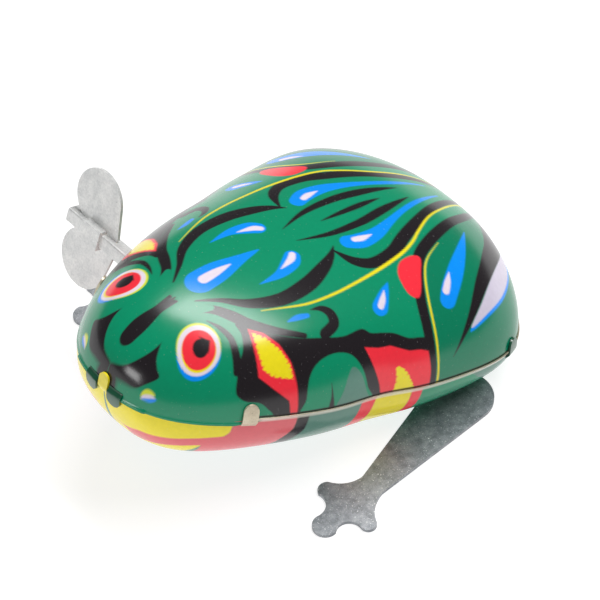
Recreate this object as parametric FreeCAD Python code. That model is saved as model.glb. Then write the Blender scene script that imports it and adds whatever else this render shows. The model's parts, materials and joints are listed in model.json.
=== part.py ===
import FreeCAD, Part
import math
import os
from FreeCAD import Vector

# Tin wind-up jumping frog, in millimetres.
# +Z is up, the frog faces -Y and its left side is +X. The ground is the plane z = 0 and
# the origin is on it, on the frog's plane of symmetry, in the flat of the belly.
# The two shells are shaped in their own frame, with the seam as the plane z = 0 and the
# nose at -Y, and are then pitched nose-up into the sitting stance.

# ---- driving dimensions -------------------------------------------------------------
SHELL_LENGTH = 75.0
SHELL_HALF_WIDTH = 26.4
DOME_HEIGHT = 16.0
BELLY_DEPTH = 11.9
TIN = 0.35
SEAM_GAP = 0.05
TAB_ROOT = 1.3
NOSE_UP_DEG = 14.9
SEAM_HEIGHT = 12.6
BELLY_FLAT_Y = 16.0

# each profile along the body peaks at y and falls to zero at both ends:
# (peak y, front power, front root, rear power, rear root)
WIDTH_PROFILE = (17.0, 1.5, 2.5, 2.7, 1.6)
DOME_PROFILE = (11.0, 2.25, 2.9, 2.0, 2.25)
BELLY_PROFILE = (-18.5, 4.7, 1.3, 2.85, 1.2)
DOME_SECTION = (2.5, 1.7)
BELLY_SECTION = (2.2, 2.6)

# arbors and pivots, as (y, z)
WINDING_AXIS = (-32.0, 19.5)
TRAIN_MODULE = 0.5
GREAT_TEETH = 32
PINION_TEETH = 10
MID_TEETH = 24
MID_BEARING_DEG = -20.0
KICK_BEARING_DEG = -10.0
LEG_AXIS = (4.4, 4.6)
RUNNING_FIT = 0.05

# motor frame
PLATE_X = 6.1
PLATE_T = 0.8
PILLAR_R = 1.2
PILLAR_REACH = 9.9
ARBOR_R = 0.9
BARREL_R = 1.5

# key
KEY_SQUARE = 2.4
KEY_WALL = 0.35
KEY_LEAN_DEG = 20.0
KEY_TIP_X = -32.6
WING_X = -27.9
WING_R = 5.0
WING_REACH = 5.6
WING_ROOT = 5.5
WING_T = 0.5
SADDLE_X = -26.6
SADDLE_WIDTH = 4.0
PIVOT_R = 1.2

# legs
LEG_T = 0.6
KNEE = (23.6, -1.1)
KNEE_R = 5.15
EAR_X = 18.0
YOKE_Y = 7.9
LEVER_TOP = 9.45
LEVER_TIP_Y = -14.0


def shifted(point, bearing_deg, distance):
    """A point in the (y, z) plane, a distance away on a bearing from +Y."""
    angle = math.radians(bearing_deg)
    return (point[0] + distance * math.cos(angle), point[1] + distance * math.sin(angle))


def pitch_radius(teeth):
    return TRAIN_MODULE * teeth / 2


MID_AXIS = shifted(WINDING_AXIS, MID_BEARING_DEG, pitch_radius(GREAT_TEETH) + pitch_radius(PINION_TEETH))
KICK_AXIS = shifted(MID_AXIS, KICK_BEARING_DEG, pitch_radius(MID_TEETH) + pitch_radius(PINION_TEETH))
PILLARS = (
    shifted(WINDING_AXIS, 225, PILLAR_REACH),
    shifted(WINDING_AXIS, 45, PILLAR_REACH),
    (-5.6, 12.5),
)


# ---- helpers ------------------------------------------------------------------------
def rod(x0, x1, centre, radius):
    """A cylinder along X about the (y, z) centre."""
    return Part.makeCylinder(radius, x1 - x0, Vector(x0, centre[0], centre[1]), Vector(1, 0, 0))


def block(x0, x1, y0, y1, z0, z1):
    return Part.makeBox(x1 - x0, y1 - y0, z1 - z0, Vector(x0, y0, z0))


def slab(x0, x1, wire):
    """A closed wire in the plane x = 0 turned into a plate from x0 to x1."""
    face = Part.Face(wire)
    face.translate(Vector(x0, 0, 0))
    return face.extrude(Vector(x1 - x0, 0, 0))


def yz(point):
    return Vector(0, point[0], point[1])


def fused(first, *others):
    return first.fuse(list(others)).removeSplitter()


def both_sides(solid):
    """A solid and its mirror image across the plane of symmetry."""
    return Part.makeCompound([solid, mirrored(solid)])


def mirrored(solid):
    return solid.mirror(Vector(0, 0, 0), Vector(1, 0, 0))


def link(a, ra, b, rb):
    """The closed wire around two circles in the plane x = 0: two arcs and two tangents."""
    return hull([(a, ra), (b, rb)])


def hull(circles):
    """The closed wire around circles ((y, z), radius), listed anticlockwise about +X."""
    tangents = []
    count = len(circles)
    for i in range(count):
        (a, ra), (b, rb) = circles[i], circles[(i + 1) % count]
        along = math.atan2(b[1] - a[1], b[0] - a[0])
        lean = math.acos((ra - rb) / math.hypot(b[0] - a[0], b[1] - a[1]))
        normal = math.degrees(along - lean)
        tangents.append((normal, shifted(a, normal, ra), shifted(b, normal, rb)))
    edges = []
    for i in range(count):
        normal, start, end = tangents[i]
        next_normal, next_start, _ = tangents[(i + 1) % count]
        centre, radius = circles[(i + 1) % count]
        middle = shifted(centre, normal + ((next_normal - normal) % 360) / 2, radius)
        edges.append(Part.makeLine(yz(start), yz(end)))
        edges.append(Part.Arc(yz(end), yz(middle), yz(next_start)).toShape())
    return Part.Wire(edges)


# ---- shells -------------------------------------------------------------------------
def profile(y, length, shape):
    """Height of a profile, from 0 at either end of the body to 1 at its peak."""
    peak, front_power, front_root, rear_power, rear_root = shape
    if y < peak:
        u = (peak - y) / (peak + length / 2)
        return max(1 - u ** front_power, 0) ** (1 / front_root)
    u = (y - peak) / (length / 2 - peak)
    return max(1 - u ** rear_power, 0) ** (1 / rear_root)


def profile_span(height, length, shape):
    """The two places along the body where a profile passes a height."""
    peak, front_power, front_root, rear_power, rear_root = shape
    front = (1 - height ** front_root) ** (1 / front_power)
    rear = (1 - height ** rear_root) ** (1 / rear_power)
    return peak - front * (peak + length / 2), peak + rear * (length / 2 - peak)


def contour(level, rise, inset, rise_profile, section):
    """The closed outline of a shell at one height above or below the seam."""
    length = SHELL_LENGTH - 2 * inset
    half_width = SHELL_HALF_WIDTH - inset
    n, m = section
    y0, y1 = profile_span(level, length, rise_profile)
    side = []
    steps = 22
    for i in range(1, steps):
        y = (y0 + y1) / 2 - (y1 - y0) / 2 * math.cos(math.pi * i / steps)
        share = min(level / profile(y, length, rise_profile), 1)
        x = half_width * profile(y, length, WIDTH_PROFILE) * (1 - share ** m) ** (1 / n)
        side.append((x, y))
    z = level * rise
    points = [Vector(0, y0, z)]
    points += [Vector(x, y, z) for x, y in side]
    points += [Vector(0, y1, z)]
    points += [Vector(-x, y, z) for x, y in reversed(side)]
    curve = Part.BSplineCurve()
    curve.interpolate(Points=points, PeriodicFlag=True)
    return Part.Wire(curve.toShape())


def shell_body(rise, inset, rise_profile, section):
    """The solid inside one shell, lofted through its contours from the seam outwards."""
    layers = 9
    levels = [math.sin(math.pi / 2 * i / layers) for i in range(layers)] + [0.997]
    rings = [contour(level, rise, inset, rise_profile, section) for level in levels]
    return Part.makeLoft(rings, True, False)


def stance(shape):
    """From the seam frame to the sitting stance."""
    shape.rotate(Vector(0, 0, 0), Vector(1, 0, 0), -NOSE_UP_DEG)
    shape.translate(Vector(0, -BELLY_FLAT_Y, SEAM_HEIGHT))
    return shape


def above(shape, z):
    return shape.common(block(-60, 60, -60, 60, z, z + 80))


def tab(x, y, facing_deg, width, z0, z1, gap=0.0):
    """A rounded tin tab lying against a shell, rooted in the wall at z0, with its tip at z1."""
    radius = width / 2
    turn = 1 if z1 > z0 else -1
    low, high = sorted((z0, z1 - turn * radius))
    root_low, root_high = sorted((z0, -0.1 * turn))
    straight = block(-radius, radius, -TIN, 0, low, high)
    root = block(-radius, radius, -TIN, TAB_ROOT, root_low, root_high)
    end = Part.makeCylinder(radius, TIN, Vector(0, -TIN, z1 - turn * radius), Vector(0, 1, 0))
    plate = fused(straight, root, end)
    plate.translate(Vector(0, -gap, 0))
    plate.rotate(Vector(0, 0, 0), Vector(0, 0, 1), facing_deg)
    plate.translate(Vector(x, y, 0))
    return plate


def upper_shell():
    outer = shell_body(DOME_HEIGHT, 0, DOME_PROFILE, DOME_SECTION)
    inner = shell_body(DOME_HEIGHT - TIN, TIN, DOME_PROFILE, DOME_SECTION)
    shell = outer.cut(inner)
    shell = shell.common(block(-60, 60, -60, 60, SEAM_GAP / 2, 40))
    tabs = [tab(side * 2.45, -37.25, side * 10, 2.6, 0.9, -2.4, gap=0.35) for side in (-1, 1)]
    shell = stance(fused(shell, *tabs))
    return shell.cut(rod(-30, -10, WINDING_AXIS, KEY_SQUARE * 0.8))


def lower_shell():
    outer = stance(shell_body(-BELLY_DEPTH, 0, BELLY_PROFILE, BELLY_SECTION))
    inner = stance(shell_body(TIN - BELLY_DEPTH, TIN, BELLY_PROFILE, BELLY_SECTION))
    shell = above(outer, 0).cut(above(inner, TIN))
    rim = stance(block(-60, 60, -60, 60, -SEAM_GAP / 2, 30))
    shell = shell.cut(rim)
    tabs = [tab(0, -37.35, 0, 2.0, -1.2, 2.2, gap=0.3)]
    for side in (-1, 1):
        tabs.append(tab(side * 17.5, -24.0, side * 63, 2.4, -1.0, 3.0, gap=0.1))
        tabs.append(tab(side * 25.42, 24.2, side * 111, 2.6, -1.0, 2.4, gap=0.15))
    shell = fused(shell, *[stance(piece) for piece in tabs])
    for side in (-1, 1):
        low, high = sorted((side * (EAR_X - 0.9), side * (EAR_X + LEG_T + 0.45)))
        shell = shell.cut(block(low, high, -2.8, 6.4, -1, 4))
        shell = shell.cut(Part.makeCylinder(0.8, 3, Vector(side * 8.2, 0, -1)))
    return shell


# ---- motor frame --------------------------------------------------------------------
def motor_plate():
    """The left plate; its foot flange lies on the flat of the belly."""
    x0, x1 = PLATE_X, PLATE_X + PLATE_T
    outline = hull([(PILLARS[0], 2.1), (LEG_AXIS, 2.6), (PILLARS[1], 2.0), (WINDING_AXIS, 5.5)])
    plate = slab(x0, x1, outline)
    web = block(x0, x1, -3, 3, TIN + 0.05, 5)
    flange = block(x0, x0 + 3.6, -3, 3, TIN + 0.05, TIN + 0.65)
    plate = fused(plate, web, flange)
    for centre in PILLARS:
        plate = plate.cut(rod(x0 - 1, x1 + 1, centre, PILLAR_R * 0.6))
    for centre in (MID_AXIS, KICK_AXIS):
        plate = plate.cut(rod(x0 - 1, x1 + 1, centre, ARBOR_R + RUNNING_FIT))
    plate = plate.cut(rod(x0 - 1, x1 + 1, LEG_AXIS, ARBOR_R))
    return plate.cut(Part.makeCylinder(0.8, 3, Vector(8.2, 0, -1)))


def motor_plate_left():
    return motor_plate().cut(rod(PLATE_X - 1, PLATE_X + 2, WINDING_AXIS, BARREL_R + RUNNING_FIT))


def motor_plate_right():
    hole = rod(-PLATE_X - 2, -PLATE_X + 1, WINDING_AXIS, PIVOT_R + RUNNING_FIT)
    return mirrored(motor_plate()).cut(hole)


def motor_pillars():
    """Shouldered posts, spread over at their ends."""
    posts = []
    for centre in PILLARS:
        body = rod(-PLATE_X, PLATE_X, centre, PILLAR_R)
        tenon = rod(-PLATE_X - PLATE_T - 0.5, PLATE_X + PLATE_T + 0.5, centre, PILLAR_R * 0.6)
        heads = [
            rod(PLATE_X + PLATE_T, PLATE_X + PLATE_T + 0.5, centre, PILLAR_R * 0.95),
            rod(-PLATE_X - PLATE_T - 0.5, -PLATE_X - PLATE_T, centre, PILLAR_R * 0.95),
        ]
        posts.append(fused(body, tenon, *heads))
    return Part.makeCompound(posts)


def foot_rivets():
    shank = Part.makeCylinder(0.8, TIN + 0.65, Vector(8.2, 0, 0.02))
    head = Part.makeCylinder(1.2, 0.6, Vector(8.2, 0, TIN + 0.65))
    return both_sides(fused(shank, head))


def leg_axle():
    return rod(-EAR_X - 1.9, EAR_X + 1.9, LEG_AXIS, ARBOR_R)


def axle_clips():
    """Open-sided clips that stop the legs sliding off their axle."""
    x0 = EAR_X + LEG_T + 0.15
    clip = rod(x0, x0 + 0.5, LEG_AXIS, 2.0).cut(rod(x0 - 1, x0 + 2, LEG_AXIS, ARBOR_R))
    mouth = block(x0 - 1, x0 + 2, LEG_AXIS[0] - 0.6, LEG_AXIS[0] + 0.6, LEG_AXIS[1], LEG_AXIS[1] + 3)
    return both_sides(clip.cut(mouth))


def mainspring():
    """A flat ribbon wound in a spiral, its outer end reaching the first pillar."""
    thickness = 0.25
    inner_r, outer_r, turns = 1.9, 7.3, 7
    steps = turns * 12

    def edge(offset):
        points = []
        for i in range(steps + 1):
            share = i / steps
            radius = inner_r + (outer_r - inner_r) * share + offset
            points.append(yz(shifted(WINDING_AXIS, 180 + 360 * turns * share, radius)))
        points.append(yz(shifted(WINDING_AXIS, 180 + 360 * turns + 45, PILLAR_REACH - PILLAR_R + offset)))
        curve = Part.BSplineCurve()
        curve.interpolate(points)
        return curve.toShape(), points[0], points[-1]

    near, near_start, near_end = edge(-thickness)
    far, far_start, far_end = edge(0)
    ends = [Part.makeLine(near_start, far_start), Part.makeLine(near_end, far_end)]
    wire = Part.Wire(Part.__sortEdges__([near, far] + ends))
    return slab(-3.2, 1.6, wire)


# ---- winder -------------------------------------------------------------------------
def winder_frame(shape):
    """Puts a shape made about the X axis on the winding axis, its top leaning to the rear."""
    shape.rotate(Vector(0, 0, 0), Vector(1, 0, 0), -KEY_LEAN_DEG)
    shape.translate(yz(WINDING_AXIS))
    return shape


def winding_arbor():
    """A barrel between the plates, a pivot through the right plate, then a squared end."""
    centre = (0, 0)
    core = KEY_SQUARE / 2 - KEY_WALL - 0.02
    barrel = rod(-PLATE_X + 0.3, PLATE_X + 1.4, centre, BARREL_R)
    pivot = rod(-PLATE_X - 1.6, -PLATE_X + 0.5, centre, PIVOT_R)
    square = block(-22, -PLATE_X - 1.5, -core, core, -core, core)
    return winder_frame(fused(barrel, pivot, square))


def ratchet_wheel():
    teeth = 12
    points = []
    for i in range(teeth):
        points.append(yz(shifted((0, 0), 360 * i / teeth, 3.4)))
        points.append(yz(shifted((0, 0), 360 * i / teeth + 1, 2.7)))
    wheel = slab(3.8, 4.8, Part.makePolygon(points + points[:1]))
    return winder_frame(wheel.cut(rod(3, 6, (0, 0), BARREL_R)))


def key_shaft():
    """A square sleeve folded from sheet, left open along the seam of its fold."""
    half = KEY_SQUARE / 2
    bore = half - KEY_WALL
    inner_x = -PLATE_X - PLATE_T - 1.2
    sleeve = block(KEY_TIP_X, inner_x, -half, half, -half, half)
    corners = [edge for edge in sleeve.Edges if abs(edge.tangentAt(edge.FirstParameter).x) > 0.9]
    sleeve = sleeve.makeFillet(0.3, corners)
    sleeve = sleeve.cut(block(KEY_TIP_X - 1, inner_x + 1, -bore, bore, -bore, bore))
    return winder_frame(sleeve.cut(block(KEY_TIP_X - 1, inner_x + 1, -0.1, 0.1, -half - 1, 0)))


def key_wing():
    """The upper ear: a round lobe whose inner edge runs straight down to the shaft."""
    foot = ((-WING_X - WING_ROOT, KEY_SQUARE / 2 + 0.4), 0.4)
    outline = hull([foot, ((-WING_X, WING_REACH), WING_R)])
    ear = slab(-WING_T / 2, WING_T / 2, outline)
    ear.rotate(Vector(0, 0, 0), Vector(0, 0, 1), 90)
    return ear


def key_wings():
    """Two ears in the plane of the shaft, joined by a saddle folded over it."""
    half = KEY_SQUARE / 2
    saddle_r = half + WING_T
    x0, x1 = SADDLE_X - SADDLE_WIDTH / 2, SADDLE_X + SADDLE_WIDTH / 2
    saddle = block(x0, x1, -saddle_r, WING_T / 2, -saddle_r, saddle_r)
    ear = key_wing()
    wings = fused(saddle, ear, ear.mirror(Vector(0, 0, 0), Vector(0, 0, 1)))
    slot = half + 0.01
    return winder_frame(wings.cut(block(-60, 0, -slot, slot, -slot, slot)))


# ---- gear train ---------------------------------------------------------------------
def gear(x0, x1, centre, teeth, tooth_at_deg, bore):
    """A spur gear with involute flanks, one tooth centred on a bearing."""
    pitch_r = pitch_radius(teeth)
    tip_r = pitch_r + 0.8 * TRAIN_MODULE
    root_r = pitch_r - 1.15 * TRAIN_MODULE
    base_r = pitch_r * math.cos(math.radians(20))
    backlash = 0.07

    def roll(radius):
        angle = math.acos(base_r / radius)
        return math.tan(angle) - angle

    half = math.pi / 2 / teeth - backlash / pitch_r + roll(pitch_r)
    low_r = max(base_r, root_r)
    flank = [(low_r + (tip_r - low_r) * i / 4) for i in range(5)]
    points = []
    for k in range(teeth):
        middle = tooth_at_deg + 360 * k / teeth
        left = [(math.degrees(roll(r) - half), r) for r in flank]
        right = [(-angle, r) for angle, r in reversed(left)]
        rooted = [(left[0][0], root_r)] + left + right + [(right[-1][0], root_r)]
        points += [yz(shifted(centre, middle + angle, r)) for angle, r in rooted]
    wheel = slab(x0, x1, Part.makePolygon(distinct(points)))
    return wheel.cut(rod(x0 - 1, x1 + 1, centre, bore))


def distinct(points):
    """A closed polygon's points without repeats."""
    kept = [points[0]]
    for point in points[1:]:
        if point.distanceToPoint(kept[-1]) > 1e-4:
            kept.append(point)
    return kept + kept[:1]


def great_wheel():
    """Loose on the winding arbor, with four round windows."""
    wheel = gear(2.6, 3.6, WINDING_AXIS, GREAT_TEETH, MID_BEARING_DEG, BARREL_R + RUNNING_FIT)
    for k in range(4):
        wheel = wheel.cut(rod(2, 4, shifted(WINDING_AXIS, 10 + 90 * k, 4.6), 1.3))
    return wheel.cut(rod(2, 4, click_pivot(), 0.5))


def click_pivot():
    return shifted(WINDING_AXIS, 145, 6.2)


def click():
    """The pawl: a teardrop plate on the great wheel whose nose points at the ratchet."""
    nose = shifted(WINDING_AXIS, 185, 4.1)
    plate = slab(3.8, 4.6, link(click_pivot(), 1.1, nose, 0.35))
    return plate.cut(rod(3, 6, click_pivot(), 0.5))


def click_rivet():
    centre = click_pivot()
    return fused(rod(2.6, 4.6, centre, 0.5), rod(4.6, 5.0, centre, 0.9))


def click_spring():
    """A bent strip behind the pawl."""
    outer = Part.makeCylinder(7.2, 0.7, Vector(3.7, *WINDING_AXIS), Vector(1, 0, 0), 75)
    inner = Part.makeCylinder(6.9, 0.7, Vector(3.7, *WINDING_AXIS), Vector(1, 0, 0), 75)
    strip = outer.cut(inner)
    strip.rotate(yz(WINDING_AXIS), Vector(1, 0, 0), 100)
    foot = rod(3.65, 4.4, shifted(WINDING_AXIS, 265, 6.6), 0.7)
    return fused(strip, foot)


def arbor(centre):
    return rod(-PLATE_X - PLATE_T - 0.5, PLATE_X + PLATE_T + 0.5, centre, ARBOR_R)


def mid_pinion():
    gap_deg = MID_BEARING_DEG + 180 + 180 / PINION_TEETH
    return gear(2.0, 4.2, MID_AXIS, PINION_TEETH, gap_deg, ARBOR_R)


def mid_wheel():
    wheel = gear(-4.9, -4.1, MID_AXIS, MID_TEETH, KICK_BEARING_DEG, ARBOR_R)
    for k in range(3):
        wheel = wheel.cut(rod(-6, -3, shifted(MID_AXIS, 30 + 120 * k, 3.5), 1.2))
    return wheel


def kick_pinion():
    gap_deg = KICK_BEARING_DEG + 180 + 180 / PINION_TEETH
    return gear(-5.4, -3.6, KICK_AXIS, PINION_TEETH, gap_deg, ARBOR_R)


def kick_cam():
    """Three snail-shaped lobes that trip the lever and let it go at each step."""
    lobes = 3
    core_r, tip_r = 2.4, 4.6
    steps = 10
    points = []
    for k in range(lobes):
        for i in range(steps + 1):
            share = i / steps
            bearing = 360 / lobes * (k + share * 0.97)
            points.append(yz(shifted(KICK_AXIS, bearing, core_r + (tip_r - core_r) * share ** 1.5)))
    cam = slab(-1.2, 1.2, Part.makePolygon(points + points[:1]))
    return cam.cut(rod(-3, 3, KICK_AXIS, ARBOR_R))


# ---- legs ---------------------------------------------------------------------------
def tangent_point(point, centre, radius, side):
    """Where the line from a point touches a circle, on its left (+1) or right (-1)."""
    dx, dy = point[0] - centre[0], point[1] - centre[1]
    distance = math.hypot(dx, dy)
    angle = math.atan2(dy, dx) + side * math.acos(radius / distance)
    return (centre[0] + radius * math.cos(angle), centre[1] + radius * math.sin(angle))


def leg_left():
    """A flat paddle: round knee, tapering shin, webbed foot, and an ear bent up to the axle."""
    ankle_in, ankle_out = (25.3, -23.4), (29.6, -23.3)
    knee_in = tangent_point(ankle_in, KNEE, KNEE_R, -1)
    knee_out = tangent_point(ankle_out, KNEE, KNEE_R, 1)
    knee_back = (KNEE[0], KNEE[1] + KNEE_R)
    instep_in, toe_in, toe_in_end = (24.7, -26.1), (22.6, -28.1), (23.3, -30.7)
    toe_mid, toe_mid_end = (26.5, -33.8), (30.5, -33.6)
    toe_out, toe_out_end = (32.3, -30.2), (33.4, -27.9)
    arcs = [
        (ankle_in, instep_in, toe_in),
        (toe_in, (22.2, -29.4), toe_in_end),
        (toe_in_end, (25.7, -31.3), toe_mid),
        (toe_mid, (28.7, -36.0), toe_mid_end),
        (toe_mid_end, (30.4, -30.9), toe_out),
        (toe_out, (33.8, -29.4), toe_out_end),
        (toe_out_end, (31.0, -26.1), ankle_out),
        (knee_out, knee_back, knee_in),
    ]
    edges = [Part.Arc(*[Vector(x, y, 0) for x, y in arc]).toShape() for arc in arcs]
    edges.append(Part.makeLine(Vector(*knee_in, 0), Vector(*ankle_in, 0)))
    edges.append(Part.makeLine(Vector(*ankle_out, 0), Vector(*knee_out, 0)))
    paddle = Part.Face(Part.Wire(Part.__sortEdges__(edges))).extrude(Vector(0, 0, LEG_T))
    ear_outline = hull([((-1.7, 0.3), 0.3), ((3.0, 0.3), 0.3), (LEG_AXIS, 2.2)])
    ear = slab(EAR_X, EAR_X + LEG_T, ear_outline)
    bridge = block(EAR_X, EAR_X + 2.5, -1.7, 2.0, 0, LEG_T)
    leg = fused(paddle, ear, bridge)
    for centre, radius in ((LEG_AXIS, ARBOR_R + RUNNING_FIT), (yoke_rivet_centre(), 0.5)):
        leg = leg.cut(rod(EAR_X - 1, EAR_X + 2, centre, radius))
    return leg


def leg_right():
    return mirrored(leg_left())


def yoke_rivet_centre():
    return (LEG_AXIS[0] - 1.6, LEG_AXIS[1] - 2.1)


def leg_yoke():
    """The bar that joins the legs behind their axle, with the lever the cam trips."""
    x_end = EAR_X
    bar = block(-x_end, x_end, YOKE_Y, YOKE_Y + 0.8, 3.4, 6.8)
    cheeks = []
    for x0 in (-x_end, x_end - 0.6):
        cheek = slab(x0, x0 + 0.6, hull([(LEG_AXIS, 2.0), ((YOKE_Y, 3.9), 0.5), ((YOKE_Y, 6.3), 0.5)]))
        lug = slab(x0, x0 + 0.6, link(LEG_AXIS, 2.0, yoke_rivet_centre(), 1.1))
        cheeks.append(fused(cheek, lug))
    riser = block(-1.5, 1.5, YOKE_Y, YOKE_Y + 0.8, 5, LEVER_TOP)
    lever = block(-1.5, 1.5, LEVER_TIP_Y, YOKE_Y + 0.8, LEVER_TOP - 0.8, LEVER_TOP)
    yoke = fused(bar, riser, lever, *cheeks)
    yoke = yoke.cut(rod(-x_end - 1, x_end + 1, LEG_AXIS, ARBOR_R + RUNNING_FIT))
    return yoke.cut(rod(-x_end - 1, x_end + 1, yoke_rivet_centre(), 0.5))


def yoke_rivets():
    centre = yoke_rivet_centre()
    shank = rod(EAR_X - 0.6, EAR_X + LEG_T, centre, 0.5)
    head = rod(EAR_X - 1.0, EAR_X - 0.6, centre, 0.9)
    return both_sides(fused(shank, head))


def return_spring():
    """A coil round the axle with one arm on the yoke, which lifts the legs again."""
    wire_r, coil_r, pitch, turns = 0.2, 1.6, 0.8, 5
    x0 = 9.8
    helix = Part.makeHelix(pitch, pitch * turns, coil_r)
    spine = Part.Wire(helix.Edges)
    profile_wire = Part.Wire(Part.makeCircle(wire_r, Vector(coil_r, 0, 0), Vector(0, 1, 0)))
    coil = spine.makePipeShell([profile_wire], True, False)
    coil.rotate(Vector(0, 0, 0), Vector(0, 1, 0), 90)
    coil.rotate(Vector(0, 0, 0), Vector(1, 0, 0), 90)
    coil.translate(Vector(x0, *LEG_AXIS))
    top = LEG_AXIS[1] + coil_r
    reach = YOKE_Y - LEG_AXIS[0]
    tail = Part.makeCylinder(wire_r, reach, Vector(x0, LEG_AXIS[0], top), Vector(0, 1, 0))
    return coil.fuse(tail)


PARTS = {
    "upper_shell": upper_shell,
    "lower_shell": lower_shell,
    "motor_plate_left": motor_plate_left,
    "motor_plate_right": motor_plate_right,
    "motor_pillars": motor_pillars,
    "foot_rivets": foot_rivets,
    "leg_axle": leg_axle,
    "axle_clips": axle_clips,
    "mainspring": mainspring,
    "winding_arbor": winding_arbor,
    "ratchet_wheel": ratchet_wheel,
    "key_shaft": key_shaft,
    "key_wings": key_wings,
    "great_wheel": great_wheel,
    "click": click,
    "click_rivet": click_rivet,
    "click_spring": click_spring,
    "mid_arbor": lambda: arbor(MID_AXIS),
    "mid_pinion": mid_pinion,
    "mid_wheel": mid_wheel,
    "kick_arbor": lambda: arbor(KICK_AXIS),
    "kick_pinion": kick_pinion,
    "kick_cam": kick_cam,
    "leg_left": leg_left,
    "leg_right": leg_right,
    "leg_yoke": leg_yoke,
    "yoke_rivets": yoke_rivets,
    "return_spring": return_spring,
}

os.makedirs("parts", exist_ok=True)
for name, make in PARTS.items():
    shape = make()
    shape.exportStep("parts/" + name + ".step")
    print(name, len(shape.Solids), shape.isValid(), round(shape.Volume, 2))
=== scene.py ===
import json
import math

import bpy
import numpy as np
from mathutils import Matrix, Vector


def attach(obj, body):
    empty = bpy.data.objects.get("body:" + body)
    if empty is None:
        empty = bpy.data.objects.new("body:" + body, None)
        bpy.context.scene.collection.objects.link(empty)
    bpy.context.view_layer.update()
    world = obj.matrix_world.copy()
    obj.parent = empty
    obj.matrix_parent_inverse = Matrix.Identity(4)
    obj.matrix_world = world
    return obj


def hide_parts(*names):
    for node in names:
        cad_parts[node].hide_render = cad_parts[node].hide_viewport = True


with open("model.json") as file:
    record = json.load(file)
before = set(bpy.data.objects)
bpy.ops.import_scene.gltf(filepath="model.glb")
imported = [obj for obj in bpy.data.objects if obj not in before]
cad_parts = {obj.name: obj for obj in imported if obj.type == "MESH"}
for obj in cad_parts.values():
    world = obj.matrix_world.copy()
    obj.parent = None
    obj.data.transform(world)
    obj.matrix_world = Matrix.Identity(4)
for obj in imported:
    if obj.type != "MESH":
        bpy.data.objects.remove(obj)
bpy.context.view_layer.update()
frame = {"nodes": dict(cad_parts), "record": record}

# Everything below is in millimetres until a mesh is made; MM turns it into metres.
MM = 0.001

# The shells' driving dimensions, as in the CAD model.
LENGTH = 75.0
HALF_WIDTH = 26.4
DOME_HEIGHT = 16.0
BELLY_DEPTH = 11.9
TIN = 0.35
NOSE_UP = math.radians(14.9)
SEAM_HEIGHT = 12.6
BELLY_FLAT_Y = 16.0
WINDING_AXIS = (-32.0, 19.5)
WIDTH_PROFILE = (17.0, 1.5, 2.5, 2.7, 1.6)
DOME_PROFILE = (11.0, 2.25, 2.9, 2.0, 2.25)
BELLY_PROFILE = (-18.5, 4.7, 1.3, 2.85, 1.2)
DOME_SECTION = (2.5, 1.7)
BELLY_SECTION = (2.2, 2.6)

# Where the lap of the seam changes over: ahead of it the upper shell laps outside the
# lower one, behind it the lower shell's rim laps outside.
LAP_Y = -24.0
LAP_DEPTH = 0.6
LAP_OUT = 0.28
NOSE_FRONT_Y = -36

# Openings in the shells: the slots the legs swing in, and the hole the key's shaft turns in.
LEG_SLOT_X = (17.1, 19.05)
LEG_SLOT_Y = (-2.8, 6.4)
LEG_SLOT_Z = (-1, 4)
KEY_HOLE_R = 1.92
KEY_HOLE_X = (-30, -10)

# The flanks are drawn in a little ahead of the haunches, which swell: shares of the radius.
WAIST_Y = -2.5
WAIST_REACH = 5.5
WAIST_DEPTH = 0.035
HAUNCH_Y = 18.0
HAUNCH_REACH = 7.0
HAUNCH_SWELL = 0.022


# ---- colours ------------------------------------------------------------------------
def srgb(red, green, blue):
    """Linear colour from 0..255 display values."""
    def linear(value):
        value = value / 255
        return value / 12.92 if value <= 0.04045 else ((value + 0.055) / 1.055) ** 2.4
    return (linear(red), linear(green), linear(blue))


GREEN = srgb(0, 146, 104)
DEEP_GREEN = srgb(0, 128, 92)
BLACK = srgb(32, 27, 31)
BLUE = srgb(0, 148, 255)
WHITE = srgb(240, 226, 240)
YELLOW = srgb(250, 232, 30)
LEMON = srgb(226, 236, 70)
RED = srgb(255, 50, 66)
ROSE = srgb(236, 104, 112)
SAGE = srgb(92, 140, 124)
LILAC = srgb(214, 206, 224)
PALE = srgb(240, 234, 218)


# ---- shell shape --------------------------------------------------------------------
def profile(y, length, shape):
    """Height of a profile, from 0 at either end of the body to 1 at its peak."""
    peak, front_power, front_root, rear_power, rear_root = shape
    front = np.clip((peak - y) / (peak + length / 2), 0, 1)
    rear = np.clip((y - peak) / (length / 2 - peak), 0, 1)
    ahead = (1 - front ** front_power) ** (1 / front_root)
    behind = (1 - rear ** rear_power) ** (1 / rear_root)
    return np.where(y < peak, ahead, behind)


def shell_point(y, s, upper, inset=0.0):
    """Point on a shell in the seam frame; s runs from -1 to 1, seam to seam, across the body."""
    length = LENGTH - 2 * inset
    height, rise_profile, section, sign = (
        (DOME_HEIGHT, DOME_PROFILE, DOME_SECTION, 1) if upper
        else (BELLY_DEPTH, BELLY_PROFILE, BELLY_SECTION, -1)
    )
    n, m = section
    y = y * length / LENGTH
    angle = np.clip(s, -1, 1) * math.pi / 2
    across = np.sign(angle) * np.abs(np.sin(angle)) ** (2 / n)
    rise = np.abs(np.cos(angle)) ** (2 / m)
    x = (HALF_WIDTH - inset) * profile(y, length, WIDTH_PROFILE) * across
    swell = 1 - WAIST_DEPTH * np.exp(-((y - WAIST_Y) / WAIST_REACH) ** 2) * s ** 2
    if upper:
        haunch = HAUNCH_SWELL * np.exp(-((y - HAUNCH_Y) / HAUNCH_REACH) ** 2)
        swell = swell + haunch * np.sin(math.pi * s) ** 2
    x = x * swell
    z = sign * (height - inset) * profile(y, length, rise_profile) * rise * swell
    return np.stack([x, y + 0 * x, z], -1)


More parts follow.
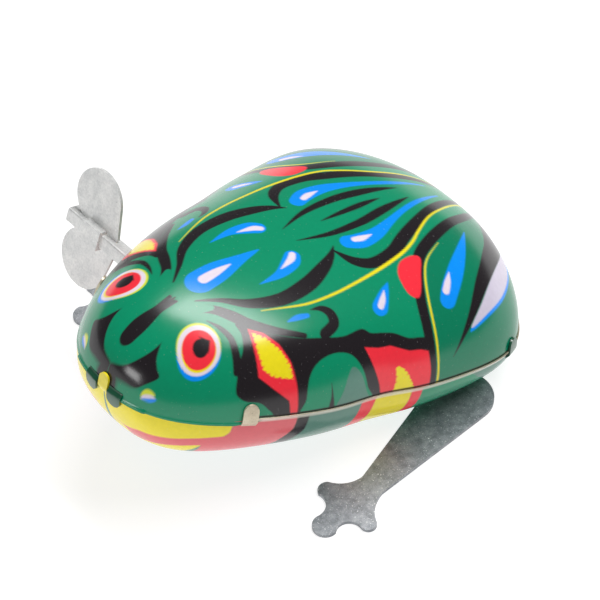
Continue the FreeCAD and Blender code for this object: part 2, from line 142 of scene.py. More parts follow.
def stance(points):
    """From the seam frame to the sitting stance."""
    c, s = math.cos(NOSE_UP), math.sin(NOSE_UP)
    x, y, z = points[..., 0], points[..., 1], points[..., 2]
    return np.stack([x, c * y + s * z - BELLY_FLAT_Y, c * z - s * y + SEAM_HEIGHT], -1)


def stations(count):
    """Places along the body, crowded towards the nose and the tail where it rounds off."""
    ramp = 0.12
    t = np.linspace(0, 1, count)
    mirrored = np.minimum(t, 1 - t)
    slope = 1 / (1 - ramp)
    near = slope / (2 * ramp) * np.minimum(mirrored, ramp) ** 2
    share = near + slope * np.maximum(mirrored - ramp, 0)
    share = np.where(t <= 0.5, share, 1 - share)
    return (share - 0.5) * LENGTH


def crowded(count):
    """Shares of the way to the seam, closer together near the ridge, where each spans more tin."""
    t = np.linspace(-1, 1, count)
    return np.sign(t) * np.abs(t) ** 1.25


class Chart:
    """Flat drawing plane of one shell: u is mm along the body, v is mm of tin from the ridge.

    A place is written (y, percent): mm along the body and percent of the way from the
    ridge, or the keel, to the seam. More than 100 percent lies beyond the seam.
    """

    def __init__(self, upper):
        self.y = np.linspace(-LENGTH / 2, LENGTH / 2, 401)
        self.s = np.linspace(0, 1, 101)
        grid = shell_point(self.y[:, None], self.s[None, :], upper)
        steps = np.linalg.norm(np.diff(grid, axis=1), axis=-1)
        self.v = np.concatenate([np.zeros((401, 1)), np.cumsum(steps, axis=1)], axis=1)

    def place(self, y, s):
        """(u, v) of places given as mm along and share of the way to the seam."""
        row = (y + LENGTH / 2) / LENGTH * 400
        low = np.clip(row.astype(int), 0, 399)
        mix = np.clip(row - low, 0, 1)
        past = np.maximum(np.abs(s) - 1, 0) * 20
        column = np.clip(np.abs(s), 0, 1) * 100
        left = np.clip(column.astype(int), 0, 99)
        blend = column - left
        near = self.v[low, left] * (1 - blend) + self.v[low, left + 1] * blend
        far = self.v[low + 1, left] * (1 - blend) + self.v[low + 1, left + 1] * blend
        return np.stack([y, near * (1 - mix) + far * mix + past], -1)


# ---- drawing ------------------------------------------------------------------------
def smooth(points, closed=False, steps=6):
    """A Catmull-Rom curve through the rows of an array."""
    points = np.asarray(points, float)
    if closed:
        padded = np.concatenate([points[-1:], points, points[:2]])
    else:
        padded = np.concatenate([points[:1], points, points[-1:]])
    t = np.linspace(0, 1, steps, endpoint=False)[:, None]
    pieces = []
    for a, b, c, d in zip(padded[:-3], padded[1:-2], padded[2:-1], padded[3:]):
        pieces.append(0.5 * (2 * b + (c - a) * t + (2 * a - 5 * b + 4 * c - d) * t ** 2
                             + (3 * b - a - 3 * c + d) * t ** 3))
    curve = np.concatenate(pieces)
    return curve if closed else np.concatenate([curve, points[-1:]])


class Print:
    """The colours printed on one shell, one motif laid over another."""

    EDGE = 0.2

    def __init__(self, chart, y, s, ground):
        self.chart = chart
        self.spots = chart.place(y, s)
        self.colour = np.empty((len(y), 3))
        self.colour[:] = ground

    def to_chart(self, points):
        """(u, v) of rows of (y, percent)."""
        points = np.asarray(points, float)
        return self.chart.place(points[:, 0], points[:, 1] / 100)

    def near(self, curve, margin):
        """Indices of the mesh points inside a curve's box, widened by the margin."""
        low, high = curve.min(0) - margin, curve.max(0) + margin
        return np.where(np.all((self.spots > low) & (self.spots < high), axis=1))[0]

    def lay(self, picked, distance, colour):
        """Inks the picked points where distance is below zero, with a soft edge."""
        cover = np.clip(0.5 - distance / self.EDGE, 0, 1)[:, None]
        self.colour[picked] = self.colour[picked] * (1 - cover) + np.asarray(colour) * cover

    def stroke(self, colour, *points):
        """A curved stroke through (y, percent, half width in mm)."""
        points = np.asarray(points, float)
        line = np.concatenate([self.to_chart(points[:, :2]), points[:, 2:]], axis=1)
        line = smooth(line)
        line[:, 2] = np.maximum(line[:, 2], 0)
        picked = self.near(line[:, :2], line[:, 2].max() + 1)
        spots = self.spots[picked]
        distance = np.full(len(picked), 9.0)
        for start, end in zip(line[:-1], line[1:]):
            along = end[:2] - start[:2]
            share = np.clip((spots - start[:2]) @ along / max(along @ along, 1e-9), 0, 1)
            gap = np.linalg.norm(spots - start[:2] - share[:, None] * along, axis=1)
            distance = np.minimum(distance, gap - start[2] - (end[2] - start[2]) * share)
        self.lay(picked, distance, colour)

    def patch(self, colour, points, rough=0.0, corners=False):
        """A filled shape with a smooth outline; rough gives it a dry-brushed edge."""
        outline = self.to_chart(points)
        if not corners:
            outline = smooth(outline, closed=True)
        picked = self.near(outline, 1)
        spots = self.spots[picked]
        distance = np.full(len(picked), 99.0)
        inside = np.zeros(len(picked), bool)
        for start, end in zip(outline, np.roll(outline, -1, axis=0)):
            along = end - start
            share = np.clip((spots - start) @ along / max(along @ along, 1e-9), 0, 1)
            distance = np.minimum(distance, np.linalg.norm(spots - start - share[:, None] * along, axis=1))
            spans = (start[1] > spots[:, 1]) != (end[1] > spots[:, 1])
            rise = along[1] if abs(along[1]) > 1e-9 else 1e-9
            crossing = start[0] + (spots[:, 1] - start[1]) / rise * along[0]
            inside ^= spans & (spots[:, 0] < crossing)
        distance = np.where(inside, -distance, distance)
        if rough:
            wave = spots[:, 1] * 7.5 + spots[:, 0] * 2.0
            comb = np.sin(wave) + 0.7 * np.sin(1.73 * wave + 1.0) + 0.5 * np.sin(3.1 * wave)
            distance = distance + rough * 0.5 * np.maximum(comb, 0)
        self.lay(picked, distance, colour)

    def disc(self, colour, y, percent, radius, shift=(0, 0), squash=1.0):
        """A disc; squash below 1 shortens it along the body, where the tin slopes away."""
        centre = self.to_chart([(y, percent)])[0] + np.asarray(shift)
        picked = self.near(centre[None, :], radius + 1)
        reach = (self.spots[picked] - centre) / (squash, 1)
        self.lay(picked, np.linalg.norm(reach, axis=1) - radius, colour)


    def follow_seam(self, colour, start, end, rise, half):
        """A line along the seam from y = start to y = end, rise mm of tin away from it."""
        u, v = self.spots.T
        edge = self.chart.place(u, np.ones(len(u)))[:, 1]
        across = np.abs(edge - v - rise) - half
        self.lay(slice(None), np.maximum(across, np.maximum(start - u, u - end)), colour)


def print_upper(art):
    """The frog's back: everything is drawn once and appears on both sides."""
    draw_thigh(art)
    draw_side_field(art)
    draw_back(art)
    draw_head(art)
    draw_eye(art)
    # Painted shade: this black line along the seam, just above where the lower shell's rim laps over, stands
    # in for the shadow in the gap between the shells.
    art.follow_seam(BLACK, LAP_Y + 1, LENGTH / 2, LAP_DEPTH + 0.12, 0.16)


def draw_back(art):
    """Scalloped black bands, yellow lines and blue drops sweeping to the rear."""
    art.stroke(BLACK, (-25, 5, 0.1), (-21.7, 11.5, 0.4), (-18.4, 19.5, 0.8), (-13.7, 23.5, 1.1),
               (-8.6, 21.5, 1.3), (-4.4, 17, 1.1), (-1.5, 13, 0.6), (0.3, 9.5, 0.05))
    art.stroke(BLACK, (-0.4, 11, 0.1), (1.1, 18.5, 0.8), (3.9, 22.5, 1.0), (8.2, 21, 1.1),
               (12.1, 16.5, 1.1), (17.4, 11.5, 0.95), (22.8, 7.5, 0.8), (29.5, 5, 0.6), (35, 4.5, 0.5))
    art.stroke(YELLOW, (-17.5, 25.5, 0.05), (-11, 30, 0.16), (-5.9, 30, 0.2), (-0.9, 28.3, 0.22),
               (4.2, 26, 0.26), (9.3, 23, 0.26), (12.7, 19.8, 0.22), (15.5, 16, 0.2), (20.2, 11, 0.17),
               (26.3, 8, 0.15), (35, 7.2, 0.12))
    art.stroke(BLACK, (-3.9, 2.2, 0.05), (1.7, 4.6, 0.5), (7.9, 4.8, 0.75), (12.9, 3.6, 0.8),
               (17.4, 2.4, 0.45), (20.5, 1.5, 0.05))
    art.stroke(BLACK, (2.6, 0, 0.02), (7, 0, 0.4), (11, 0, 0.5), (15.2, 0, 0.02))
    art.stroke(BLUE, (-21.6, 0, 2.3), (-18.5, 0, 2.1), (-14.5, 0, 1.1), (-10.2, 0, 0.05))
    art.stroke(WHITE, (-20.9, 0, 0.85), (-18.6, 0, 0.7), (-15.8, 0, 0.05))
    art.stroke(BLUE, (-6.9, 7, 1.25), (-8.1, 9.2, 1.35), (-11, 12, 0.75), (-14.8, 12.6, 0.05))
    art.stroke(WHITE, (-6.6, 6.2, 0.5), (-7.6, 8, 0.55), (-10.1, 10, 0.05))
    art.stroke(BLUE, (3.0, 10.2, 1.3), (5.2, 11.6, 1.5), (8.6, 11, 1.15), (12.3, 8.6, 0.7),
               (16, 6.2, 0.5), (21, 3.8, 0.42), (27.5, 2, 0.1))
    art.stroke(WHITE, (4.3, 10.2, 0.5), (5.6, 10.8, 0.55), (7.6, 10.8, 0.05))
    art.stroke(BLUE, (3.9, 33, 0.05), (2.4, 37, 0.75), (0.5, 43, 1.35))
    art.stroke(WHITE, (2.5, 36, 0.05), (1.6, 39.5, 0.45), (0.7, 42.5, 0.55))
    art.stroke(BLUE, (-14.8, 35.6, 0.1), (-13.2, 35.2, 0.45), (-11.5, 35.8, 0.35))
    art.patch(RED, [(7.2, 28), (8.8, 25.6), (11, 25.4), (11.8, 27.8), (10.2, 34), (7.8, 44), (6.2, 41),
                    (6.2, 33)])


def draw_thigh(art):
    """The haunch: its outline, its drop, and the dark and pale sweeps behind it."""
    art.patch(DEEP_GREEN, [(7.5, 97), (8, 60), (12, 32), (18, 22), (26, 17), (34, 18), (37, 40),
                           (36, 80), (30, 97), (18, 99)])
    art.stroke(BLACK, (34, 15, 0.5), (28.3, 14.5, 0.75), (22.3, 16.3, 0.9), (15.8, 21.5, 1.0),
               (12, 26.5, 1.0), (9.8, 33, 1.0), (8.3, 41, 0.95), (7.3, 51, 0.9), (6.6, 70, 0.85),
               (6.3, 99, 0.8))
    art.stroke(YELLOW, (17, 23.5, 0.03), (12.9, 28.8, 0.1), (10.8, 35, 0.14), (9.3, 44, 0.16),
               (8.4, 55, 0.17), (7.8, 73, 0.17), (7.5, 98, 0.17))
    art.stroke(BLUE, (24.3, 22, 0.05), (20.5, 29, 0.75), (16.5, 37.5, 1.35), (13.6, 45, 1.5),
               (12.3, 49.5, 1.4))
    art.stroke(WHITE, (15, 37.5, 0.05), (13.8, 41.5, 0.5), (12.7, 45.2, 0.6))
    art.stroke(BLACK, (36, 26, 1.6), (30, 34, 1.7), (24.6, 39.5, 1.4), (19.4, 48.5, 1.1), (15, 62, 0.6),
               (10.6, 80, 0.05))
    art.patch(BLUE, [(33, 50), (29.4, 54.5), (24, 59.5), (18.5, 64.5), (14.4, 68.5), (19, 56), (23, 48),
                     (29, 44)])
    art.patch(LILAC, [(33, 47), (29.2, 52.5), (24, 57.5), (18.5, 62.5), (14.8, 66.5), (18.9, 54.5),
                      (22.8, 47), (29, 42.5)])


def draw_side_field(art):
    """The dark flank with a flame, a green arch and a red panel."""
    art.patch(BLACK, [(-22.1, 27), (-22.2, 34), (-23, 43), (-24.2, 51), (-25.1, 60), (-25.7, 72),
                      (-24.6, 79), (-22.5, 82), (-21, 90), (-19, 99), (-10, 99.5), (0, 99.5), (6.4, 99),
                      (6.6, 80), (6.6, 66), (5.4, 63.5), (3.2, 62), (1, 57.5), (-1, 55.5), (-2.8, 54),
                      (-4.2, 50.5), (-7.5, 51.5), (-11, 49), (-14.6, 45.5), (-18, 39.5), (-20, 33)])
    art.patch(GREEN, [(-24.6, 80.5), (-22.3, 83), (-21.2, 91), (-20.2, 99.5), (-26, 99.5), (-26, 82)])
    art.stroke(BLACK, (-10.6, 33.5, 0.05), (-8.9, 34.6, 0.45), (-7.9, 38.5, 0.75), (-8.2, 44, 0.9),
               (-10.2, 47.5, 0.9))
    art.patch(RED, [(-20.9, 31), (-21.5, 44), (-22.2, 63), (-20.2, 73.5), (-18.2, 83), (-17.9, 98),
                    (-16.9, 98), (-16.8, 74), (-16.9, 58), (-17.7, 46), (-19.3, 36.5)], corners=True)
    art.patch(YELLOW, [(-20.7, 35), (-21.2, 47), (-21.3, 59), (-20.2, 64.5), (-18.6, 67), (-17.2, 68.5),
                       (-17.1, 60), (-17.8, 49.5), (-19.2, 40)], rough=0.35, corners=True)
    art.patch(GREEN, [(-15.7, 99.5), (-15.5, 84), (-14.7, 70), (-12.9, 62), (-10, 59), (-7.3, 62),
                      (-5.8, 71), (-5, 85), (-4.6, 99.5)])
    art.patch(SAGE, [(-10.4, 99.5), (-9.4, 84), (-7.6, 70), (-6.2, 74), (-5.2, 88), (-4.7, 99.5)])
    art.patch(BLACK, [(-12, 99.5), (-11.5, 86), (-11.3, 76), (-11.1, 86), (-10.8, 99.5)], corners=True)
    art.patch(RED, [(-4.6, 60.5), (-3.7, 73), (-2.9, 85), (-2.3, 99.5), (2, 99.5), (6, 99.5), (6.2, 84),
                    (6.1, 72), (4.8, 70), (2.8, 69), (1.4, 66.5), (-0.2, 63.5),
                    (-2.2, 63)], corners=True)
    art.patch(YELLOW, [(-0.1, 99.5), (0.1, 86), (0.2, 77), (1.5, 79), (2.6, 87),
                       (3.2, 99.5)], rough=0.3)


def draw_head(art):
    """The black mask with a green loop on the forehead, and the brow lines."""
    art.patch(BLACK, [(-37.4, 0), (-37.4, 60), (-36.7, 62), (-35.7, 56), (-34.4, 50), (-34.2, 40),
                      (-33.8, 31), (-32.9, 23), (-31.6, 16.5), (-30, 12), (-28, 8), (-27, 0)])
    art.stroke(BLACK, (-31, 12.5, 0.7), (-28.4, 9.3, 0.8), (-25.3, 10.5, 0.75), (-23.4, 15, 0.75),
               (-21.9, 22, 0.85), (-20.3, 30, 0.8), (-17.2, 38.5, 0.6), (-13.4, 45.5, 0.4))
    art.stroke(BLACK, (-25.4, 19, 0.05), (-24.5, 25.5, 0.3), (-23.9, 34, 0.45), (-24.2, 44, 0.6),
               (-24.8, 56, 0.7))
    art.stroke(GREEN, (-23.6, 13, 0.5), (-26, 9.5, 1.1), (-29, 9, 1.3), (-31.5, 12, 1.2),
               (-33.6, 14.5, 1.2), (-35.4, 11, 1.2), (-35.9, 0, 1.2))
    art.patch(GREEN, [(-36.6, -2), (-35.9, 10), (-33.5, 14), (-31, 11), (-28, 7), (-25.5, 7),
                      (-24.2, 5), (-24.2, -2)], corners=True)
    art.stroke(BLACK, (-34.4, 0, 1.25), (-32.6, 0, 1.35), (-30.2, 0, 0.95), (-26.2, 0, 0.05))
    art.patch(LEMON, [(-36.2, 75), (-36.1, 67), (-35.7, 62.5), (-35.3, 66), (-35.2, 72)])
    art.patch(WHITE, [(-36.25, 79), (-36.1, 72.5), (-35.7, 70.5), (-35.3, 72), (-35.2, 77),
                      (-35.7, 79)])
    art.patch(BLUE, [(-36.2, 79), (-35.7, 76.5), (-35.1, 76), (-35.2, 80), (-35.7, 83)])


def draw_eye(art):
    """A round eye: blue shadow line, yellow rim, white ring, red iris and dark pupil."""
    y, percent = -28.55, 34.5
    for colour, radius, shift in ((BLUE, 3.75, (-0.2, 0.4)), (LEMON, 3.75, (0.1, -0.2)), (WHITE, 3.6, (0, 0)),
                                  (YELLOW, 2.95, (-0.1, 0.2)), (RED, 2.85, (0, 0)),
                                  (BLACK, 1.35, (0.25, 0.05))):
        art.disc(colour, y, percent, radius, shift, squash=0.85)
    art.patch(BLACK, [(y + 0.9, percent - 8), (y + 1.9, percent - 3),
                      (y + 0.9, percent + 5)], corners=True)


def print_lower(art):
    """The belly's bands, as far up as the seam."""
    art.patch(YELLOW, [(-38, -5), (-38, 140), (-25.1, 140), (-26.2, 93), (-27.2, 86), (-29, 76),
                       (-29.5, 60), (-27, -5)], corners=True)
    art.patch(ROSE, [(-35, -20), (-35, 4), (-35.1, 30), (-35, 51), (-33.4, 72), (-30.8, 83.5),
                     (-27.4, 88.7), (-24, 90), (-24, 70), (-28.5, 76), (-31.6, 65), (-33, 44),
                     (-33.6, 8), (-33.6, -20)])
    art.patch(ROSE, [(-25.1, 140), (-26.2, 93), (-27.2, 86), (-29, 76), (-28, 40), (-20, 40), (-18, 80),
                     (-16.8, 92), (-16, 140)], corners=True)
    art.patch(BLACK, [(-16, 140), (-16.8, 92), (-18, 80), (-18, 60), (-16, 60), (-15.9, 76),
                      (-14.9, 90), (-14.4, 140)], corners=True)
    art.patch(RED, [(-4.2, 140), (-6, 92), (-7.5, 60), (-5, 58), (-3.4, 90), (-1.5, 140)], corners=True)
    art.patch(YELLOW, [(-1.5, 140), (-3.4, 90), (-5, 58), (1.5, 55), (2.7, 75),
                       (3.8, 140)], corners=True)
    art.patch(RED, [(3.8, 140), (2.7, 75), (1.5, 55), (3.2, 55), (4.6, 76), (5.8, 140)], corners=True)
    art.patch(GREEN, [(5.8, 140), (4.6, 76), (3.2, 55), (3, -5), (40, -5), (40, 140)], corners=True)
    art.follow_seam(PALE, LAP_Y + 1, LENGTH / 2, 0, 0.05)


# ---- meshes -------------------------------------------------------------------------
def mesh_object(name, points, faces, materials, face_materials=None):
    """A smooth-shaded mesh object from points in mm."""
    mesh = bpy.data.meshes.new(name)
    mesh.from_pydata([tuple(p) for p in np.asarray(points, float) * MM], [], faces)
    for material in materials:
        mesh.materials.append(material)
    if face_materials is not None:
        mesh.polygons.foreach_set("material_index", np.asarray(face_materials, np.int32))
    mesh.polygons.foreach_set("use_smooth", np.ones(len(mesh.polygons), bool))
    mesh.update()
    piece = bpy.data.objects.new(name, mesh)
    bpy.context.scene.collection.objects.link(piece)
    return piece


def sheet_faces(rows, columns, start=0, flip=False):
    """Quads of a grid of points, row by row."""
    index = start + np.arange(rows * columns).reshape(rows, columns)
    corners = [index[:-1, :-1], index[:-1, 1:], index[1:, 1:], index[1:, :-1]]
    quads = np.stack([corner.ravel() for corner in (corners[::-1] if flip else corners)], axis=1)
    return quads


def lap(y, front):
    """How far a rim laps over the other shell at y: 1 where it does, 0 where it doesn't."""
    ramp = np.clip((y - LAP_Y) / 2.0, -1, 1) / 2 + 0.5
    return 1 - ramp if front else ramp


def shell_piece(name, upper, paint, ground, printed, bare):
    """One pressed tin shell: printed outside, bare inside, with its lapped rim."""
    rows, columns, inner_columns = 480, 381, 31
    y = stations(rows)
    s = crowded(columns)
    outer = shell_point(y[:, None], s[None, :], upper)
    sign = 1 if upper else -1
    reach = lap(y, upper)
    # Where it laps, the rim is drawn out past the seam and stands just outside the other shell.
    rim_rows = []
    for step in (1, 0):
        rim = outer[:, [0, -1]].copy()
        outwards = np.sign(rim[..., 0])
        share = (0.5 + 0.5 * step) * reach[:, None]
        rim[..., 2] = -sign * LAP_DEPTH * share
        rim[..., 0] += outwards * LAP_OUT * share
        rim[..., 1] += np.where(rim[..., 1] < NOSE_FRONT_Y, -LAP_OUT, 0) * share
        rim_rows.append(rim)
    left_lips = np.stack([rim[:, 0] for rim in rim_rows], axis=1)
    right_lips = np.stack([rim[:, 1] for rim in rim_rows[::-1]], axis=1)
    outer_all = np.concatenate([left_lips, outer, right_lips], axis=1)
    columns_all = columns + 4
    inner_s = np.linspace(-1, 1, inner_columns)
    inner = shell_point(y[:, None], inner_s[None, :], upper, TIN)
    inner_left = left_lips[:, :1] + np.array([TIN * 0.6, 0, 0])
    inner_right = right_lips[:, -1:] - np.array([TIN * 0.6, 0, 0])
    inner_all = np.concatenate([inner_left, inner, inner_right], axis=1)
    inner_count = inner_columns + 2
    points = stance(np.concatenate([outer_all.reshape(-1, 3), inner_all.reshape(-1, 3)]))
    points[:, 2] = np.maximum(points[:, 2], 0)
    offset = rows * columns_all
    inner_points = slice(offset, None)
    if not upper:
        points[inner_points, 2] = np.maximum(points[inner_points, 2], TIN)
    outer_quads = sheet_faces(rows, columns_all, 0, flip=not upper)
    inner_quads = sheet_faces(rows, inner_count, offset, flip=upper)
    grid = np.arange(rows * columns_all).reshape(rows, columns_all)
    inner_grid = offset + np.arange(rows * inner_count).reshape(rows, inner_count)
    rims = []
    for edge in (0, -1):
        a, b = grid[:-1, edge], grid[1:, edge]
        c, d = inner_grid[1:, edge], inner_grid[:-1, edge]
        quad = np.stack([a, b, c, d], axis=1)
        rims.append(quad if (edge == 0) == upper else quad[:, ::-1])
    quads = np.concatenate([outer_quads, inner_quads] + rims)
    slots = np.zeros(len(quads), int)
    slots[len(outer_quads):] = 1
    piece = mesh_object(name, points, quads.tolist(), [printed, bare], slots)
    flat_s = np.concatenate([[-1, -1], s, [1, 1]])
    all_y = np.repeat(y, columns_all)
    all_s = np.tile(flat_s, rows)
    art = Print(Chart(upper), all_y, all_s, ground)
    paint(art)
    colours = np.ones((len(points), 4), np.float32)
    colours[:offset, :3] = art.colour
    attribute = piece.data.attributes.new("print", "FLOAT_COLOR", "POINT")
    attribute.data.foreach_set("color", colours.ravel())
    return piece


def wall_gap(x, y, z):
    """Below zero inside the shells' outer surface, above zero outside it, in the seam frame."""
    upper = z >= 0
    wide = HALF_WIDTH * profile(y, LENGTH, WIDTH_PROFILE)
    high = DOME_HEIGHT * profile(y, LENGTH, DOME_PROFILE)
    deep = BELLY_DEPTH * profile(y, LENGTH, BELLY_PROFILE)
    above = (np.abs(x) / wide) ** DOME_SECTION[0] + (np.abs(z) / high) ** DOME_SECTION[1]
    below = (np.abs(x) / wide) ** BELLY_SECTION[0] + (np.abs(z) / deep) ** BELLY_SECTION[1]
    return np.where(upper, above, below) - 1


def on_wall(x, y, z, facing):
    """Moves points along a level direction until they lie on the outer surface."""
    low, high = np.full(x.shape, -6.0), np.full(x.shape, 6.0)
    for _ in range(40):
        middle = (low + high) / 2
        reach = y + facing[1] * middle
        outside = wall_gap(x + facing[0] * middle, np.clip(reach, -37.49, 37.49), z) > 0
        outside |= np.abs(reach) > 37.49
        high = np.where(outside, middle, high)
        low = np.where(outside, low, middle)
    return x + facing[0] * low, y + facing[1] * low


def tab_piece(name, x, y, facing_deg, width, z0, z1, gap, ink):
    """A rounded tab folded over the seam: it leaves one shell at z0 and lies on the other up to z1."""
    turn = math.radians(facing_deg)
    facing = (math.sin(turn), -math.cos(turn))
    along = (math.cos(turn), math.sin(turn))
    radius = width / 2
    sign = 1 if z1 > z0 else -1
    rows, columns = 36, 15
    ease = np.sin(np.linspace(0, 1, rows) * math.pi / 2)
    z = z0 + (z1 - z0) * ease
    past = np.clip(sign * (z - (z1 - sign * radius)), 0, radius)
    half = np.sqrt(np.maximum(radius ** 2 - past ** 2, 0.0004))
    u = np.linspace(-1, 1, columns)[None, :] * half[:, None]
    level = np.repeat(z[:, None], columns, axis=1)
    wall_x, wall_y = on_wall(x + along[0] * u, y + along[1] * u, level, facing)
    out = (wall_x - x) * facing[0] + (wall_y - y) * facing[1]
    out = out.mean(axis=1, keepdims=True) * 0.5 + out * 0.5
    surfaces = []
    for lift in (gap + TIN, gap):
        lift = lift * np.clip(sign * (level - z0) / 0.8, 0.15, 1)
        surfaces.append(np.stack([x + along[0] * u + facing[0] * (out + lift),
                                  y + along[1] * u + facing[1] * (out + lift), level], -1))
    points = stance(np.concatenate([surface.reshape(-1, 3) for surface in surfaces]))
    count = rows * columns
    index = np.arange(count).reshape(rows, columns)
    rim = np.concatenate([index[:, 0], index[-1, 1:], index[-2::-1, -1], index[0, -2:0:-1]])
    around = np.stack([rim, np.roll(rim, -1), np.roll(rim, -1) + count, rim + count], axis=1)
    quads = np.concatenate([sheet_faces(rows, columns, 0), sheet_faces(rows, columns, count, flip=True),
                            around[:, ::-1]])
    if sign < 0:
        quads = quads[:, ::-1]
    piece = mesh_object(name, points, quads.tolist(), [ink])
    piece.data.set_sharp_from_angle(angle=math.radians(50))
    soften(piece, 0.07)
    return piece


def soften(piece, width):
    """Rounds the cut edges of a sheet piece."""
    bevel = piece.modifiers.new("edges", "BEVEL")
    bevel.width = width * MM
    bevel.segments = 2
    bevel.limit_method = "ANGLE"
    bevel.angle_limit = math.radians(50)
    bevel.harden_normals = True


# ---- materials ----------------------------------------------------------------------
def new_material(name):
    """An empty material with its node tree and its one Principled shader."""
    material = bpy.data.materials.new(name)
    material.use_nodes = True
    tree = material.node_tree
    tree.nodes.clear()
    output = tree.nodes.new("ShaderNodeOutputMaterial")
    shader = tree.nodes.new("ShaderNodeBsdfPrincipled")
    tree.links.new(shader.outputs["BSDF"], output.inputs["Surface"])
    return material, tree, shader


def noise(tree, scale, detail=3.0, roughness=0.5):
    """Noise over the object's own coordinates, in metres."""
    where = tree.nodes.new("ShaderNodeTexCoord")
    texture = tree.nodes.new("ShaderNodeTexNoise")
    texture.inputs["Scale"].default_value = scale
    texture.inputs["Detail"].default_value = detail
    texture.inputs["Roughness"].default_value = roughness
    tree.links.new(where.outputs["Object"], texture.inputs["Vector"])
    return texture.outputs["Fac"]


def ramp(tree, source, low, high, low_colour, high_colour):
    """Colours running from one to the other as the source goes from low to high."""
    node = tree.nodes.new("ShaderNodeValToRGB")
    node.color_ramp.elements[0].position = low
    node.color_ramp.elements[0].color = (*low_colour, 1)
    node.color_ramp.elements[1].position = high
    node.color_ramp.elements[1].color = (*high_colour, 1)
    tree.links.new(source, node.inputs["Fac"])
    return node.outputs["Color"]


def mixed(tree, factor, first, second, mode="MIX"):
    """Two colours blended; each input is a socket, a colour or a number."""
    node = tree.nodes.new("ShaderNodeMix")
    node.data_type = "RGBA"
    node.blend_type = mode
    for socket, value in ((node.inputs[0], factor), (node.inputs[6], first), (node.inputs[7], second)):
        if isinstance(value, bpy.types.NodeSocket):
            tree.links.new(value, socket)
        elif isinstance(value, tuple):
            socket.default_value = (*value, 1)
        else:
            socket.default_value = value
    return node.outputs[2]


def bump(tree, shader, source, strength, distance):
    """Raises the shader's surface by the source."""
    node = tree.nodes.new("ShaderNodeBump")
    node.inputs["Strength"].default_value = strength
    node.inputs["Distance"].default_value = distance
    tree.links.new(source, node.inputs["Height"])
    tree.links.new(node.outputs["Normal"], shader.inputs["Normal"])


def printed_tin(name):
    """Lithographed tin: flat inks with fine dust specks under a glossy lacquer."""
    material, tree, shader = new_material(name)
    ink = tree.nodes.new("ShaderNodeAttribute")
    ink.attribute_name = "print"
    fine = noise(tree, 1400, 4)
    specks = ramp(tree, noise(tree, 2600, 2), 0.70, 0.74, (0, 0, 0), (1, 1, 1))
    toned = mixed(tree, 0.12, ink.outputs["Color"],
                  ramp(tree, fine, 0.3, 0.7, (0.55, 0.55, 0.55), (1, 1, 1)), "MULTIPLY")
    speckled = mixed(tree, specks, toned, mixed(tree, 0.08, toned, (0.8, 0.8, 0.8)))
    tree.links.new(speckled, shader.inputs["Base Color"])
    shader.inputs["Roughness"].default_value = 0.2
    shader.inputs["IOR"].default_value = 1.5
    bump(tree, shader, noise(tree, 500, 2), 0.04, 0.0002)
    return material


def sheet_metal(name, light, dark, scale, roughness, speck=0.0, bump_strength=0.1, metal=0.9):
    """Bare sheet: mottled plating with fine specks and a faint grain."""
    material, tree, shader = new_material(name)
    mottle = ramp(tree, noise(tree, scale, 5, 0.6), 0.35, 0.65, dark, light)
    grain = ramp(tree, noise(tree, scale * 6, 3, 0.7), 0.3, 0.75, tuple(0.75 * c for c in dark), light)
    colour = mixed(tree, 0.45, mottle, grain)
    if speck:
        dots = ramp(tree, noise(tree, scale * 5, 2, 0.5), 0.66, 0.72, (0, 0, 0), (speck, speck, speck))
        colour = mixed(tree, 1.0, colour, dots, "ADD")
    tree.links.new(colour, shader.inputs["Base Color"])
    rough = tree.nodes.new("ShaderNodeMapRange")
    rough.inputs["To Min"].default_value = roughness - 0.08
    rough.inputs["To Max"].default_value = roughness + 0.12
    tree.links.new(noise(tree, scale * 2, 3), rough.inputs["Value"])
    tree.links.new(rough.outputs["Result"], shader.inputs["Roughness"])
    shader.inputs["Metallic"].default_value = metal
    bump(tree, shader, noise(tree, scale * 8, 3), bump_strength, 0.0001)
    return material


MATERIALS = {
    "frame_steel": sheet_metal("frame_steel", srgb(176, 176, 172), srgb(128, 128, 126), 500, 0.36),
    "arbor_steel": sheet_metal("arbor_steel", srgb(190, 190, 190), srgb(150, 150, 150), 900, 0.28),
    "spring_steel": sheet_metal("spring_steel", srgb(78, 84, 104), srgb(44, 48, 66), 700, 0.3),
    "zinc_plate": sheet_metal("zinc_plate", srgb(252, 252, 250), srgb(214, 216, 216), 420, 0.3, 0.1,
                              metal=0.3),
    "wheel_steel": sheet_metal("wheel_steel", srgb(170, 166, 156), srgb(120, 118, 112), 800, 0.32),
    "leg_steel": sheet_metal("leg_steel", srgb(166, 170, 175), srgb(104, 109, 114), 900, 0.38, 0.6, 0.2,
                             metal=0.3),
}
BARE_TIN = sheet_metal("bare_tin", srgb(226, 214, 190), srgb(196, 182, 156), 600, 0.3, metal=0.5)
PRINTED = printed_tin("printed_tin")


def plain_ink(name, colour):
    """One flat ink on tin, lacquered like the shells."""
    material, tree, shader = new_material(name)
    fine = ramp(tree, noise(tree, 1400, 4), 0.3, 0.7, tuple(0.86 * c for c in colour), colour)
    tree.links.new(fine, shader.inputs["Base Color"])
    shader.inputs["Roughness"].default_value = 0.3
    shader.inputs["Coat Weight"].default_value = 0.5
    shader.inputs["Coat Roughness"].default_value = 0.12
    return material


